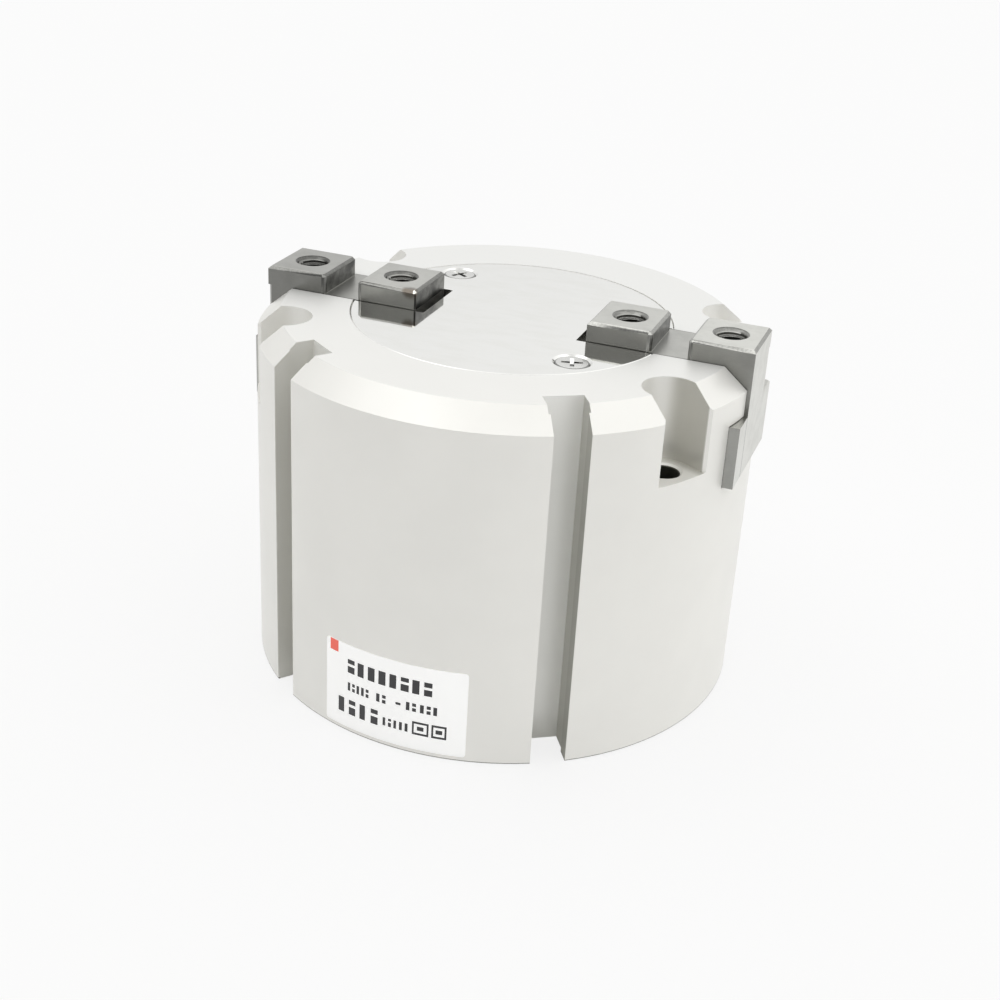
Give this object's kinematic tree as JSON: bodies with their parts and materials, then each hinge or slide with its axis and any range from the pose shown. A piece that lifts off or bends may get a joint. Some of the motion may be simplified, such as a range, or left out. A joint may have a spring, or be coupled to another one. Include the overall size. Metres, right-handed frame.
{
  "type": "pneumatic parallel gripper",
  "caption": "Round-bodied parallel gripper driven by air: a piston lifts a wedge cam that slides opposed fingers apart; body has open counterbores and sensor grooves.",
  "frame": {"origin": "centre of the flat bottom face, on the body's axis", "axes": "+Z along the body's axis towards the fingers, X along the fingers' travel, air ports towards +Y"},
  "size_m": [0.0864, 0.0861, 0.0654],
  "materials": {
    "anodised_aluminium": "clear anodised, satin",
    "plate_steel": "polished stainless steel",
    "finger_steel": "hardened steel, ground satin",
    "cam_steel": "hardened steel, ground",
    "screw_steel": "bright plated",
    "black_steel": "black oxide",
    "spring_steel": "phosphated spring steel",
    "piston_aluminium": "hard anodised",
    "cap_aluminium": "clear anodised",
    "sintered_bronze": "sintered, oiled",
    "bonded_magnet": "plastic-bonded magnet",
    "nitrile_rubber": "nitrile rubber",
    "bumper_rubber": "polyurethane rubber",
    "label_film": "printed film"
  },
  "bodies": {
    "housing": {"body": "anodised_aluminium", "end_plate": "plate_steel", "end_plate_screws": "screw_steel", "label": "label_film", "rod_bush": "sintered_bronze", "rod_seal": "nitrile_rubber", "rod_seal_retainer": "spring_steel", "upper_bumper": "bumper_rubber", "lower_bumper": "bumper_rubber", "end_cap": "cap_aluminium", "cap_gasket": "nitrile_rubber", "snap_ring": "spring_steel"},
    "piston_group": {"piston": "piston_aluminium", "piston_seal": "nitrile_rubber", "magnet_ring": "bonded_magnet", "wedge_cam": "cam_steel", "cam_bolt": "black_steel", "cam_lock_washer": "spring_steel"},
    "finger_right": {"finger_right": "finger_steel"},
    "finger_left": {"finger_left": "finger_steel"}
  },
  "joints": [
    {"name": "piston_slide", "type": "slide", "parent": "housing", "child": "piston_group", "axis": [0, 0, 1], "range_m": [0, 0.01]},
    {"name": "finger_right_slide", "type": "slide", "parent": "housing", "child": "finger_right", "axis": [1, 0, 0], "range_m": [0, 0.008]},
    {"name": "finger_left_slide", "type": "slide", "parent": "housing", "child": "finger_left", "axis": [-1, 0, 0], "range_m": [0, 0.008]}
  ],
  "couplings": [
    {"joint": "finger_right_slide", "follows": "piston_slide", "ratio": 0.8},
    {"joint": "finger_left_slide", "follows": "piston_slide", "ratio": 0.8}
  ]
}
